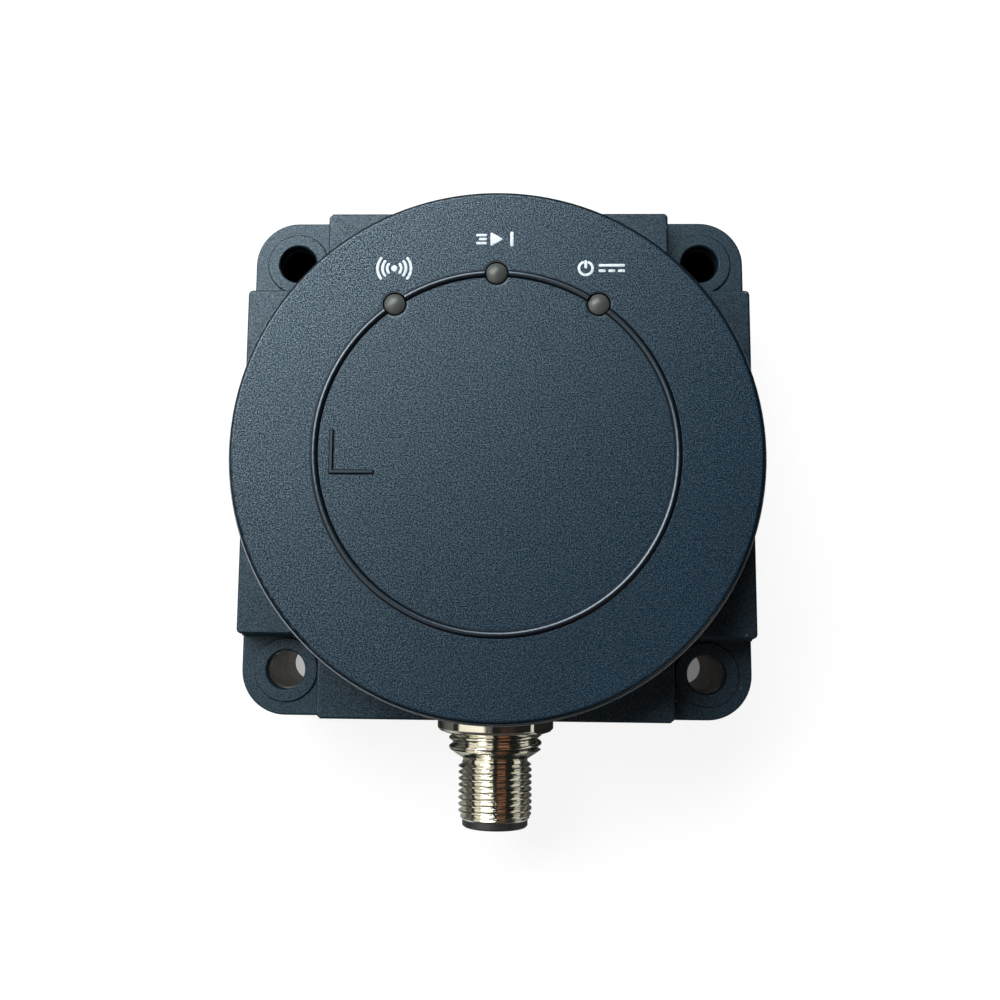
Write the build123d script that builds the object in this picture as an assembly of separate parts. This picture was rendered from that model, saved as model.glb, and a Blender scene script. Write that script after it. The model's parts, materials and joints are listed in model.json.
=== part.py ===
"""Compact rotating-head lidar scanner module, 80 x 80 x 40 mm, with four corner through-bolts
and an M12 connector.

A square moulded housing carries a fixed dark window ring and a round top cap with three status
light pipes. Inside, a direct-drive rotor on two ball bearings turns the laser and receiver
optics behind the window.
Frame: millimetres, +Z up along the scan axis, origin at the middle of the flat mounting face,
connector on -Y.
"""
from build123d import *
import math
import os

os.makedirs("parts", exist_ok=True)


# ---------------------------------------------------------------- helpers
def cyl(radius, bottom, top, x=0.0, y=0.0):
    return Pos(x, y, (bottom + top) / 2) * Cylinder(radius, abs(top - bottom))


def tube(outer, inner, bottom, top, x=0.0, y=0.0):
    return cyl(outer, bottom, top, x, y) - cyl(inner, bottom - 1, top + 1, x, y)


def box(x0, x1, y0, y1, z0, z1):
    return Pos((x0 + x1) / 2, (y0 + y1) / 2, (z0 + z1) / 2) * Box(x1 - x0, y1 - y0, z1 - z0)


def cone(low_radius, top_radius, bottom, top, x=0.0, y=0.0):
    return Pos(x, y, (bottom + top) / 2) * Cone(low_radius, top_radius, top - bottom)


def ycyl(radius, start, end, x, z):
    """Cylinder along Y."""
    return Pos(x, (start + end) / 2, z) * Rot(90, 0, 0) * Cylinder(radius, abs(end - start))


def polar(radius, angle):
    return radius * math.cos(math.radians(angle)), radius * math.sin(math.radians(angle))


def corners(x, y):
    """The four points (+-x, +-y)."""
    return [(sx * x, sy * y) for sx in (-1, 1) for sy in (-1, 1)]


def rims(shape, radius, z=None):
    """Circular edges of one radius, optionally at one height."""
    return [e for e in shape.edges().filter_by(GeomType.CIRCLE)
            if abs(e.radius - radius) < 0.01 and (z is None or abs(e.arc_center.Z - z) < 0.01)]


def top_edges(shape):
    return shape.faces().sort_by(Axis.Z)[-1].edges()


def sector(outer, inner, start, end, bottom, top):
    """Part of a tube between two angles."""
    count = max(2, int(math.ceil(abs(end - start) / 30.0)) + 1)
    fan = [polar(outer * 1.6, start + (end - start) * i / (count - 1)) for i in range(count)]
    face = make_face(Polyline((0.0, 0.0), *fan, close=True).edges())
    wedge = Pos(0, 0, bottom - 0.5) * extrude(face, top - bottom + 1.0)
    return tube(outer, inner, bottom, top) & wedge


def cross(half, arm, bottom, top):
    """A plus-shaped prism: half its overall width, half its arm width, two heights."""
    along_x = box(-half, half, -arm, arm, bottom, top)
    along_y = box(-arm, arm, -half, half, bottom, top)
    return along_x + along_y


def dome_sphere(radius, rise):
    """Radius of the sphere whose cap has this rim radius and rise."""
    return (radius ** 2 + rise ** 2) / (2 * rise)


def socket_screws(places, seat, head, shank, socket, up=1):
    """Screws whose heads bear at height seat; head, shank and socket are (radius, length).
    The shanks point to +Z, or to -Z with up=-1."""
    screws = []
    for x, y in places:
        face = seat - up * head[1]
        screw = cyl(head[0], face, seat, x, y)
        screw += cyl(shank[0], seat - up * 0.01, seat + up * shank[1], x, y)
        screw -= cyl(socket[0], face - up * 0.1, face + up * socket[1], x, y)
        screws.append(screw)
    return screws


def write(name, *shapes):
    solids = []
    for entry in shapes:
        for shape in entry if isinstance(entry, (list, tuple)) else [entry]:
            solids += list(shape.solids())
    export_step(Compound(solids) if len(solids) > 1 else solids[0], f"parts/{name}.step")


# ---------------------------------------------------------------- shared dimensions
# _R is a radius, _OR and _IR outer and inner radii, _Z a height, _A an angle in degrees from +X
# housing
BASE_HALF = 40.0          # half width at the mounting face
DRAFT = 1.0               # degrees of mould draft on the block sides
EAR_STEP = 0.15           # the ears stand this far inside the block's sides
EAR_R = 7.35              # ear corner radius at the mounting face
BLOCK_Z = 29.1            # top of the block
EAR_Z = 24.35             # top of the four recessed ears
PAD_Z = 24.7              # top of the raised washer pads
PAD_R = 4.95
ARM_TOP = 26.9            # half width of the block's arms at their top
ARM_LOW = 27.4            # the same at ear level
HOLE_PITCH = 65.0         # corner bolt spacing, both ways
HOLES = corners(HOLE_PITCH / 2, HOLE_PITCH / 2)
ENTRY_R = 3.0             # plastic entry above each bush
BUSH_OR = 4.0
BUSH_IR = 2.8
BUSH_TOP = 22.6
DRUM_R = 39.4
DECK_LOW = 26.1           # underside of the top deck
DECK_HOLE_R = 31.0
CAV_HALF = 35.6           # cavity
CAV_ARM = 24.8
COVER_HALF = 37.0         # bottom cover outline
COVER_ARM = 26.3
COVER_LOW = 0.3           # the cover sits back so the rim and bushes carry the clamp load
COVER_TOP = 2.0
LEDGE_Z = COVER_TOP + 0.6  # top of the gasket
# bosses and posts
COVER_SCREWS = corners(22.5, 33.0)
BOARD_POSTS = corners(32.4, 12.0)
CARRIER_POSTS = corners(22.8, 22.8)
BOSS_R = 2.8
POST_R = 2.6
PILOT_R = 0.85            # screw holes in the board and carrier posts
# window and cap
WIN_OR = 39.45
WIN_IR = 37.4
WIN_TOP = 38.4
SKIRT_OR = 38.5           # the part of the window that enters the seat groove
SEAT_Z = 27.3             # floor of the window seat groove
SEAL_TOP = 28.0
CAP_R = 39.1
LAND_R = 39.24            # inner edge of the window's outer lip
LAND_Z = 38.0             # the cap sits on this land, below the lip
CAP_Z = 40.0
# rear pillar, behind the blind sector
PILLAR = (238.0, 302.0)   # start and end angles
PILLAR_IR, PILLAR_OR, PILLAR_TOP = 33.0, 37.0, 35.9
CAP_SCREWS = [polar(33.2, angle) for angle in (246.0, 274.0)]
FLEX_A = 294.0
# connector
CON_Z = 12.3
SPOT_Y = -39.55           # spot face on the outside
INNER_Y = -CAV_HALF       # inside of the wall
# main board and motor carrier
BOARD_LOW, BOARD_TOP = 4.6, 6.2
OUTER_Z0, OUTER_Z1 = 17.2, 18.8   # the carrier's outer flange

# ---------------------------------------------------------------- housing
ears_width = 2 * (BASE_HALF - EAR_STEP)
ears = extrude(RectangleRounded(ears_width, ears_width, EAR_R), EAR_Z, taper=DRAFT)
ears = fillet(top_edges(ears), 0.3)

# the block: four arms, upright beside the ears and tapering inward above them
outline = RectangleRounded(2 * BASE_HALF, 2 * BASE_HALF, EAR_R)
full = extrude(outline, BLOCK_Z, taper=DRAFT)
upper_height = BLOCK_Z - EAR_Z
arm_taper = math.degrees(math.atan((ARM_LOW - ARM_TOP) / upper_height))
SPAN = 120                # longer than the block
arms = [full & (Pos(0, 0, EAR_Z) * extrude(Rectangle(*size), upper_height, taper=arm_taper))
        for size in ((SPAN, 2 * ARM_LOW), (2 * ARM_LOW, SPAN))]
upper = arms[0] + arms[1]


def arm_end_edges():
    """Upright edges at the outer ends of the upper arms, each with its centre's x and y."""
    found = [(e, e.center().X, e.center().Y) for e in upper.edges()
             if e.bounding_box().size.Z > 4.5]
    return [(e, x, y) for e, x, y in found if max(abs(x), abs(y)) > 39]


# both corners of the -Y arm and the -X corner of the +Y arm are bevelled, the others rounded
bevelled = [e for e, x, y in arm_end_edges() if abs(y) > 39 and (y < 0 or x < 0)]
upper = chamfer(bevelled, 0.6)
rounded = [e for e, x, y in arm_end_edges() if min(abs(x), abs(y)) > 26.5
           and not (abs(y) > 38 and (y < 0 or x < 0) and abs(x) < 30)]
upper = fillet(rounded, 0.7)
upper = fillet(top_edges(upper), 0.35)
lower = extrude(outline, EAR_Z, taper=DRAFT)
lower = ((lower & box(-60, 60, -ARM_LOW, ARM_LOW, -1, 60))
         + (lower & box(-ARM_LOW, ARM_LOW, -60, 60, -1, 60)))
block = upper + lower
housing = ears + block
housing += cyl(DRUM_R, EAR_Z - 1.0, BLOCK_Z)
for x, y in HOLES:
    pad = cyl(PAD_R, EAR_Z - 1, PAD_Z, x, y)
    housing += chamfer(top_edges(pad), 0.14)

# cavity from below, cover recess, deck opening
housing -= cross(CAV_HALF, CAV_ARM, LEDGE_Z - 0.1, DECK_LOW)
housing -= cross(COVER_HALF + 0.1, COVER_ARM + 0.1, -1, LEDGE_Z)
housing -= cyl(DECK_HOLE_R, DECK_LOW - 1, BLOCK_Z + 1)

# bosses and posts, grown from the deck
for places, radius, foot in ((COVER_SCREWS, BOSS_R, LEDGE_Z), (BOARD_POSTS, POST_R, BOARD_TOP),
                             (CARRIER_POSTS, POST_R, OUTER_Z1)):
    for x, y in places:
        housing += cyl(radius, foot, DECK_LOW + 0.5, x, y)

# rear pillar that carries the light-board cable and the cap screws
housing += sector(PILLAR_OR, PILLAR_IR, *PILLAR, BLOCK_Z - 1, PILLAR_TOP)
for x, y in CAP_SCREWS:
    housing += cyl(POST_R, DECK_LOW, PILLAR_TOP, x, y)

# window seat groove
housing -= tube(SKIRT_OR + 0.15, WIN_IR - 0.15, SEAT_Z, BLOCK_Z + 1)

# screw holes, bush holes, cable slot
for places, radius, bottom, top in ((COVER_SCREWS, 1.05, -1, 12.0),
                                    (BOARD_POSTS, PILOT_R, -1, 13.0),
                                    (CARRIER_POSTS, PILOT_R, OUTER_Z1 - 1, 25.0)):
    for x, y in places:
        housing -= cyl(radius, bottom, top, x, y)
for x, y in HOLES:
    housing -= cyl(BUSH_OR, -1, BUSH_TOP, x, y)
    housing -= cyl(ENTRY_R, BUSH_TOP - 1, PAD_Z + 1, x, y)
    housing -= cone(ENTRY_R, ENTRY_R + 0.2, PAD_Z - 0.2, PAD_Z, x, y)
for x, y in CAP_SCREWS:
    housing -= cyl(1.35, DECK_LOW - 2, PILLAR_TOP + 1, x, y)
housing -= Rot(0, 0, FLEX_A) * box(34.3, 35.3, -3.1, 3.1, DECK_LOW - 1, PILLAR_TOP + 1)

# connector wall: clearance hole and spot face
housing -= ycyl(7.65, -45, INNER_Y + 1, 0, CON_Z)
housing -= ycyl(10.7, -45, SPOT_Y, 0, CON_Z)
write("base_housing", housing.solids().sort_by(SortBy.VOLUME)[-1])

bushes = []
for x, y in HOLES:
    bush = tube(BUSH_OR, BUSH_IR, 0, BUSH_TOP, x, y)
    bushes.append(chamfer(rims(bush, BUSH_IR), 0.4))
write("mounting_bushes", bushes)

# ---------------------------------------------------------------- bottom cover, gasket, screws
COVER_HOLE_R = 1.4
cover = cross(COVER_HALF, COVER_ARM, COVER_LOW, COVER_TOP)
gasket = (cross(COVER_HALF - 0.2, COVER_ARM - 0.2, COVER_TOP, LEDGE_Z)
          - cross(CAV_HALF + 0.1, CAV_ARM + 0.1, COVER_TOP - 1, LEDGE_Z + 1))
for x, y in COVER_SCREWS:
    gasket += cyl(BOSS_R, COVER_TOP, LEDGE_Z, x, y)
cover_screws = []
for x, y in COVER_SCREWS:
    cover -= cyl(COVER_HOLE_R, -1, COVER_TOP + 1, x, y)
    cover -= cone(2.55, 1.35, COVER_LOW - 0.05, COVER_LOW + 1.35, x, y)
    gasket -= cyl(COVER_HOLE_R, 0, 5, x, y)
    # countersunk head with a cross recess
    screw = cone(2.35, 1.05, 0.1, 1.34) + cyl(1.04, 1.0, 9.0)
    recess = Pos(0, 0, 0.3) * Box(0.45, 2.6, 1.0) + Pos(0, 0, 0.3) * Box(2.6, 0.45, 1.0)
    cover_screws.append(Pos(x, y, COVER_LOW) * (screw - recess))
write("bottom_cover", cover)
write("bottom_gasket", gasket)
write("bottom_cover_screws", cover_screws)

# ---------------------------------------------------------------- window ring and its seal
window = (tube(WIN_OR, WIN_IR, BLOCK_Z, WIN_TOP)
          + tube(SKIRT_OR, WIN_IR, SEAL_TOP, BLOCK_Z + 0.5))
window -= cyl(LAND_R, LAND_Z, WIN_TOP + 1)
window = chamfer(rims(window, WIN_OR, WIN_TOP), 0.1)
write("window_ring", window)
write("window_seal", tube(SKIRT_OR + 0.1, WIN_IR - 0.1, SEAT_Z, SEAL_TOP))

# ---------------------------------------------------------------- top cap
SPIGOT_OR, SPIGOT_IR, SPIGOT_LOW = 37.3, 35.6, 36.5
GROOVE_IR, GROOVE_LOW, GROOVE_TOP = 36.75, 37.0, 37.7    # seal groove
RING_R, RING_W, RING_H = 26.5, 1.12, 0.5                 # raised ring on the cap
MARK_X, MARK_Y, MARK_W, MARK_H = -24.3, -3.6, 0.64, 0.4  # raised right-angle datum mark
LEDS = [polar(RING_R, 90 + angle) for angle in (34.7, 0.0, -34.7)]
LED_POSTS = [polar(RING_R, 90 + angle) for angle in (17.3, -17.3)]
ROOT_Z = LAND_Z + 0.5     # features under the cap overlap its plate up to here

cap = cyl(CAP_R, LAND_Z, CAP_Z)
cap = fillet(top_edges(cap), 0.65)
cap += tube(SPIGOT_OR, SPIGOT_IR, SPIGOT_LOW, ROOT_Z)
cap -= tube(SPIGOT_OR + 1, GROOVE_IR, GROOVE_LOW, GROOVE_TOP)


def crest(across, rise):
    """Ring profile point: across in half widths from the middle, rise above the cap."""
    return (RING_R + across * RING_W / 2, 0, CAP_Z + rise)


cap += revolve(make_face([
    Line(crest(-1, -0.3), crest(-1, 0.02)),
    Spline(crest(-1, 0.02), crest(-0.52, RING_H * 0.84), crest(0, RING_H),
           crest(0.52, RING_H * 0.84), crest(1, 0.02)),
    Line(crest(1, 0.02), crest(1, -0.3)),
    Line(crest(1, -0.3), crest(-1, -0.3)),
]), Axis.Z, 360)
mark = (box(MARK_X, MARK_X + MARK_W, MARK_Y, 2.9, CAP_Z - 0.5, CAP_Z + MARK_H)
        + box(MARK_X, -17.7, MARK_Y, MARK_Y + MARK_W, CAP_Z - 0.5, CAP_Z + MARK_H))
cap += chamfer(top_edges(mark), 0.16)
for x, y in LEDS:
    cap -= cyl(1.78, LAND_Z - 1, CAP_Z + 2, x, y)
for x, y in LEDS:
    cap += tube(3.1, 2.4, 36.9, ROOT_Z, x, y)  # collars that locate the light pipes
for x, y in LED_POSTS:
    cap += cyl(1.5, 36.4, ROOT_Z, x, y)
    cap -= cyl(0.65, 36.0, 38.9, x, y)
for x, y in CAP_SCREWS:
    cap += cyl(1.7, PILLAR_TOP + 0.05, ROOT_Z, x, y) & cyl(SPIGOT_OR, 30, 45)
    cap -= cyl(1.05, PILLAR_TOP - 1, 39.0, x, y)
write("top_cap", cap)
write("cap_seal", tube(WIN_IR, GROOVE_IR + 0.05, GROOVE_LOW + 0.05, GROOVE_TOP - 0.05))
write("cap_screws", socket_screws(CAP_SCREWS, DECK_LOW, head=(2.2, 1.6), shank=(1.04, 12.41),
                                  socket=(0.8, 0.85)))

# light pipes: flange, stem and shallow dome
PIPE_R, PIPE_RISE = 1.58, 0.66
pipes = []
for x, y in LEDS:
    pipe = cyl(PIPE_R, 37.9, 39.95, x, y) + cyl(2.3, 37.25, 37.95, x, y)
    sphere_r = dome_sphere(PIPE_R, PIPE_RISE)
    sphere = Pos(x, y, 39.94 + PIPE_RISE - sphere_r) * Sphere(sphere_r)
    pipes.append(pipe + (sphere & cyl(PIPE_R, 39.93, 42, x, y)))
write("status_light_pipes", pipes)

# ---------------------------------------------------------------- status light board
LED_BOARD_LOW, LED_BOARD_TOP = 35.6, 36.4
led_board = sector(30.4, 22.6, 47, 133, LED_BOARD_LOW, LED_BOARD_TOP)
led_screws = []
for x, y in LED_POSTS:
    led_board -= cyl(0.9, 35, 37, x, y)
    screw = cyl(1.4, -1.0, 0) + cyl(0.65, -0.01, 2.41) - Pos(0, 0, -0.9) * Box(0.35, 1.9, 0.7)
    led_screws.append(Pos(x, y, LED_BOARD_LOW) * screw)
write("status_led_board", led_board)
write("status_leds", [box(x - 0.8, x + 0.8, y - 0.4, y + 0.4, LED_BOARD_TOP, 37.0)
                      for x, y in LEDS])
write("led_board_screws", led_screws)

# flat cable: arc under the cap, tab on the light board, strip down the rear pillar
flex = sector(34.9, 31.4, FLEX_A - 360 - 4.1, 50, 36.0, 36.2)
flex += sector(31.6, 29.0, 46, 50, 36.42, 36.58) + sector(31.6, 31.2, 46, 50, 36.0, 36.58)
flex += Rot(0, 0, FLEX_A) * box(34.7, 34.9, -2.5, 2.5, 9.0, 36.2)
write("led_flat_cable", flex)

# ---------------------------------------------------------------- M12 connector
NUT_AF, NUT_R, NUT_T = 17.8, 9.45, 3.2   # across flats, radius, thickness
SHELL_R = 7.55            # shell where it passes the wall
M12_R = 5.95
BORE_R = 4.6
MOUTH_R, MOUTH_Y = 5.3, -55.2            # wider mouth of the bore
FLANGE_Y = -34.9          # face of the shell's flange on the gasket
PIN_R = 0.4
PIN_TAIL_Y = -28.5
WIRE_Z = 8.2              # wire height at the board socket


def yrev(points):
    """Part turned about the connector axis from (radius, y) points."""
    face = make_face(Polyline(*[(radius, y, 0) for radius, y in points], close=True).edges())
    return Pos(0, 0, CON_Z) * revolve(face, Axis.Y, 360)


shell = yrev([(0, FLANGE_Y), (9.0, FLANGE_Y), (9.0, -33.2), (0, -33.2)])
shell += yrev([(0, -34.0), (SHELL_R, -34.0), (SHELL_R, -45.15), (7.0, -45.6), (5.35, -46.75),
               (5.35, -47.35), (M12_R, -47.9), (M12_R, -56.0), (M12_R - 0.55, -56.45),
               (0, -56.45)])
shell -= ycyl(BORE_R, -60, -30, 0, CON_Z)
shell -= ycyl(MOUTH_R, -60, MOUTH_Y, 0, CON_Z)
write("connector_shell", shell)

# a turned lock ring; two wrench flats face 60 degrees from the top
nut_end = SPOT_Y - NUT_T
nut = yrev([(0, SPOT_Y), (NUT_R - 0.25, SPOT_Y), (NUT_R, SPOT_Y - 0.25), (NUT_R, nut_end + 0.75),
            (NUT_R - 0.4, nut_end + 0.32), (8.15, nut_end), (0, nut_end)])
for side in (-1, 1):
    flat = Pos(side * (NUT_AF / 2 + 2.0), SPOT_Y - NUT_T / 2, 0) * Box(4.0, NUT_T + 1.0, 12.0)
    nut -= Pos(0, 0, CON_Z) * Rot(0, -30.0, 0) * flat
nut -= ycyl(SHELL_R + 0.02, -60, -30, 0, CON_Z)
nut -= yrev([(0, nut_end - 0.3), (SHELL_R + 0.6, nut_end - 0.3), (SHELL_R + 0.3, nut_end),
             (SHELL_R, nut_end + 0.3), (0, nut_end + 0.3)])
write("connector_nut", nut)
write("connector_gasket",
      ycyl(8.9, FLANGE_Y, INNER_Y, 0, CON_Z) - ycyl(7.7, -34, -40, 0, CON_Z))

# insert with its key, one pin in the middle and seven around it
insert = yrev([(0, -30.5), (BORE_R, -30.5), (BORE_R, MOUTH_Y), (MOUTH_R, MOUTH_Y),
               (MOUTH_R, -57.35), (5.05, -57.6), (4.3, -57.6), (4.2, -57.5), (4.2, -49.5),
               (0, -49.5)])
key = box(-0.6, 0.6, -56.4, -49.0, CON_Z + 3.5, CON_Z + 4.3)
insert += key & ycyl(4.3, -58, -48, 0, CON_Z)
PIN_XZ = [(0.0, CON_Z)]
for i in range(7):
    turn_angle = math.radians(360 / 7 * (i + 0.5))
    PIN_XZ.append((2.75 * math.sin(turn_angle), CON_Z + 2.75 * math.cos(turn_angle)))
pins = []
for x, z in PIN_XZ:
    insert -= ycyl(PIN_R, -60, -25, x, z)
    pin = ycyl(PIN_R, -56.1, PIN_TAIL_Y, x, z)
    pins.append(fillet(pin.faces().sort_by(Axis.Y)[0].edges(), 0.3))
write("connector_insert", insert)
write("connector_pins", pins)

# wires from the pin tails to the board socket, in order of x
wires = []
for i, (x, z) in enumerate(sorted(PIN_XZ)):
    end_x = -6.65 + i * 1.9
    path = Spline((x, PIN_TAIL_Y, z), (x * 0.6 + end_x * 0.4, -27.2, z * 0.75 + WIRE_Z * 0.25),
                  (end_x, -25.0, WIRE_Z), (end_x, -21.2, WIRE_Z),
                  tangents=((0, 1, 0), (0, 1, 0)))
    section = Plane(origin=path @ 0, z_dir=path % 0) * Circle(0.42)
    wires.append(sweep(section, path=path))
write("connector_wires", wires)

# ---------------------------------------------------------------- main board
BOARD_HALF, BOARD_ARM = 34.9, 23.8
SMALL_SCREW = dict(head=(1.7, 1.2), socket=(0.5376, 0.7))
board = cross(BOARD_HALF, BOARD_ARM, BOARD_LOW, BOARD_TOP)
board -= box(-10.5, 10.5, -40, -32.0, 4, 7)
for places, radius in ((COVER_SCREWS, 3.2), (BOARD_POSTS, 1.2)):
    for x, y in places:
        board -= cyl(radius, 4, 7, x, y)
write("main_board", board)
write("main_board_screws",
      socket_screws(BOARD_POSTS, BOARD_LOW, shank=(0.84, 5.6), **SMALL_SCREW))

# x from, x to, y from, y to, top
CHIPS = [(6, 18, 8, 20, 7.6), (-20, -12, 10, 18, 7.4), (-24, -17, -8, -1, 9.2),
         (-24, -17, 1, 8, 9.2), (14, 20, -6, -1, 7.5), (24, 29, -3, 3, 8.0),
         (-8, -3, 13, 18, 7.4)]
components = [box(*sides, BOARD_TOP, top) for *sides, top in CHIPS]
components += [cyl(2.6, BOARD_TOP, 9.4, -28.6, y) for y in (6.0, -6.0)]
for i in range(6):
    components.append(box(-11 + i * 3.4, -9.6 + i * 3.4, 22.2, 23.0, BOARD_TOP, 6.8))
for i in range(5):
    components.append(box(21.2, 22.4, 6.5 + i * 2.4, 7.3 + i * 2.4, BOARD_TOP, 6.8))
write("board_components", components)

# flat-cable socket, trimmed near the board's edge, and wire socket
flex_socket = Rot(0, 0, FLEX_A) * box(33.3, 36.2, -3.3, 3.3, BOARD_TOP, 9.0)
flex_socket = flex_socket & cross(BOARD_HALF - 0.1, BOARD_ARM, 6, 10)
wire_socket = (box(-8.2, 8.2, -23.6, -19.6, BOARD_TOP, 10.0)
               - box(-7.6, 7.6, -24, -20.4, 7.2, 9.2))
write("board_sockets", flex_socket, wire_socket)
write("data_link_emitter", cyl(1.4, BOARD_TOP, 7.2)
      + (Pos(0, 0, 7.2) * Sphere(0.9) & cyl(1, BOARD_TOP, 9)))

# ---------------------------------------------------------------- motor carrier
TUBE_R = 6.2              # bearing tube
BRG_OR, BRG_IR, BRG_W = 4.5, 2.0, 4.0
BRG_LOW_Z, BRG_TOP_Z = 8.6, 17.4   # undersides of the two bearings
CARRIER_Z0, CARRIER_Z1 = 10.2, 12.0
CUP_OR, CUP_IR = 17.4, 16.3

carrier = (cyl(CUP_OR, CARRIER_Z0, CARRIER_Z1) + tube(CUP_OR, CUP_IR, CARRIER_Z0, OUTER_Z1)
           + tube(30.6, CUP_IR, OUTER_Z0, OUTER_Z1))
for x, y in CARRIER_POSTS:
    carrier += cyl(3.2, OUTER_Z0, OUTER_Z1, x, y) & box(-24.5, 24.5, -24.5, 24.5, 0, 30)
carrier += cyl(TUBE_R, BRG_LOW_Z - 0.4, BRG_TOP_Z + BRG_W)
carrier -= cyl(3.6, 5, 25)
carrier -= cyl(BRG_OR, 5, BRG_LOW_Z + BRG_W)
carrier -= cyl(BRG_OR, BRG_TOP_Z, 25)
for x, y in CARRIER_POSTS:
    carrier -= cyl(1.1, 15, 20, x, y)
for angle in (30, 150, 270):
    carrier -= cyl(1.6, 9, 13, *polar(12.0, angle))
write("motor_carrier", carrier)
write("carrier_screws",
      socket_screws(CARRIER_POSTS, OUTER_Z0, shank=(0.84, 5.8), **SMALL_SCREW))

# ---------------------------------------------------------------- bearings
BALL_R, BALL_CIRCLE_R, BALLS = 0.65, 3.25, 7
outer_races, inner_races, balls, cages = [], [], [], []
for bottom in (BRG_LOW_Z, BRG_TOP_Z):
    top = bottom + BRG_W
    middle = bottom + BRG_W / 2
    groove = Pos(0, 0, middle) * Torus(BALL_CIRCLE_R, BALL_R + 0.03)
    outer_races.append(tube(BRG_OR, 3.78, bottom, top) - groove)
    inner_races.append(tube(2.72, BRG_IR, bottom, top) - groove)
    cage = tube(3.5, 3.0, middle - 1.15, middle + 1.15)
    for i in range(BALLS):
        angle = 360 / BALLS * i
        centre = Pos(*polar(BALL_CIRCLE_R, angle), middle)
        balls.append(centre * Sphere(BALL_R))
        cage -= centre * Rot(0, 0, angle) * Rot(0, 90, 0) * Cylinder(BALL_R + 0.05, 2.0)
    cages.append(cage)
write("bearing_outer_races", outer_races)
write("bearing_inner_races", inner_races)
write("bearing_balls", balls)
write("bearing_cages", cages)

# ---------------------------------------------------------------- stator
TEETH = 9
CORE_LOW, CORE_TOP = 13.4, 16.8
core = tube(8.0, TUBE_R, CORE_LOW, CORE_TOP)
coils = []
for i in range(TEETH):
    angle = 360 / TEETH * i
    core += Rot(0, 0, angle) * box(7.5, 12.3, -1.1, 1.1, CORE_LOW, CORE_TOP)
    core += sector(12.8, 12.0, angle - 15.5, angle + 15.5, CORE_LOW, CORE_TOP)
    coil = (box(8.35, 11.75, -1.95, 1.95, CORE_LOW - 0.9, CORE_TOP + 0.9)
            - box(7, 13, -1.12, 1.12, CORE_LOW - 0.02, CORE_TOP + 0.02))
    outside = coil.edges().filter_by(Axis.X).filter_by(lambda e: abs(e.center().Y) > 1.9)
    coils.append(Rot(0, 0, angle) * fillet(outside, 0.5))
write("motor_stator_core", core)
write("motor_coils", coils)

# ---------------------------------------------------------------- rotor bearing parts
TURN_Z0, TURN_Z1, TURN_R = 23.0, 24.6, 28.6   # turntable
CLIP_TOP = 8.25
shaft = tube(BRG_IR, 1.0, 7.4, TURN_Z1)
write("rotor_shaft", chamfer(rims(shaft, BRG_IR, 7.4), 0.25))
write("shaft_clip", tube(3.3, BRG_IR, 7.8, CLIP_TOP) - box(-1.0, 1.0, 0, 5, 7, 9))
write("preload_washer", tube(2.65, BRG_IR + 0.05, CLIP_TOP, BRG_LOW_Z))

# ---------------------------------------------------------------- rotor bell and magnets
BELL_OR, BELL_IR = 15.6, 14.6
MAGNETS = 12
TURN_SCREWS = [polar(13.0, angle) for angle in (0, 90, 180, 270)]
bell = (tube(BELL_OR, BELL_IR, 12.8, 22.0) + tube(BELL_OR, BRG_IR, 21.8, TURN_Z0)
        + tube(2.7, BRG_IR, BRG_TOP_Z + BRG_W, 22.0))
for i in range(6):
    bell -= cyl(1.9, 21, 24, *polar(10.0, 60 * i + 30))
for x, y in TURN_SCREWS:
    bell -= cyl(1.02, 21, 24, x, y)
write("rotor_bell", bell)
pole = 360 / MAGNETS
write("rotor_magnets", [sector(BELL_IR, 13.15, pole * i + 0.8, pole * (i + 1) - 0.8, 13.2, 17.2)
                        for i in range(MAGNETS)])

# ---------------------------------------------------------------- turntable
RB_Z0, RB_Z1 = 26.0, 27.0   # rotor board
RB_POSTS = [polar(22.5, angle) for angle in (45, 135, 225, 315)]
turntable = tube(TURN_R, BRG_IR, TURN_Z0, TURN_Z1)
for x, y in RB_POSTS:
    turntable += cyl(1.9, TURN_Z1, RB_Z0, x, y)
    turntable -= cyl(0.75, TURN_Z0 + 0.5, RB_Z0 + 1, x, y)
for x, y in TURN_SCREWS:
    turntable -= cyl(1.1, TURN_Z0 - 1, TURN_Z1 + 1, x, y)
write("turntable", turntable)
write("turntable_screws", socket_screws(TURN_SCREWS, TURN_Z1, head=(1.7, 0.9),
                                        shank=(1.0, 2.61), socket=(0.7, 0.5), up=-1))
write("balance_weight", sector(25.0, 19.0, 252, 288, TURN_Z1, 25.8))

# ring coils on the carrier flange and under the turntable
FERRITE_T, COIL_T = 0.5, 1.1
for name, face, way in (("primary", OUTER_Z1, 1), ("secondary", TURN_Z0, -1)):
    joint = face + way * FERRITE_T
    write(f"{name}_ferrite", tube(26.0, 18.0, *sorted((face, joint))))
    write(f"{name}_coil", tube(25.4, 19.2, *sorted((joint, joint + way * COIL_T))))

# encoder: slotted ring with one slot left out, and the fork it passes through
encoder = tube(TURN_R, 27.9, 19.7, TURN_Z0)
for i in range(1, 36):
    encoder -= Rot(0, 0, 10.0 * i) * box(27.5, 29, -1.2, 1.2, 19.6, 22.2)
write("encoder_ring", encoder)
fork = (box(26.0, 30.4, -2.2, 2.2, OUTER_Z1, 19.3) + box(29.35, 30.4, -2.2, 2.2, OUTER_Z1, 22.6)
        + box(26.0, 27.15, -2.2, 2.2, OUTER_Z1, 22.6))
write("encoder_sensor", Rot(0, 0, 20) * (fork - box(20, 26.05, -5, 5, 18, 25)))

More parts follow.
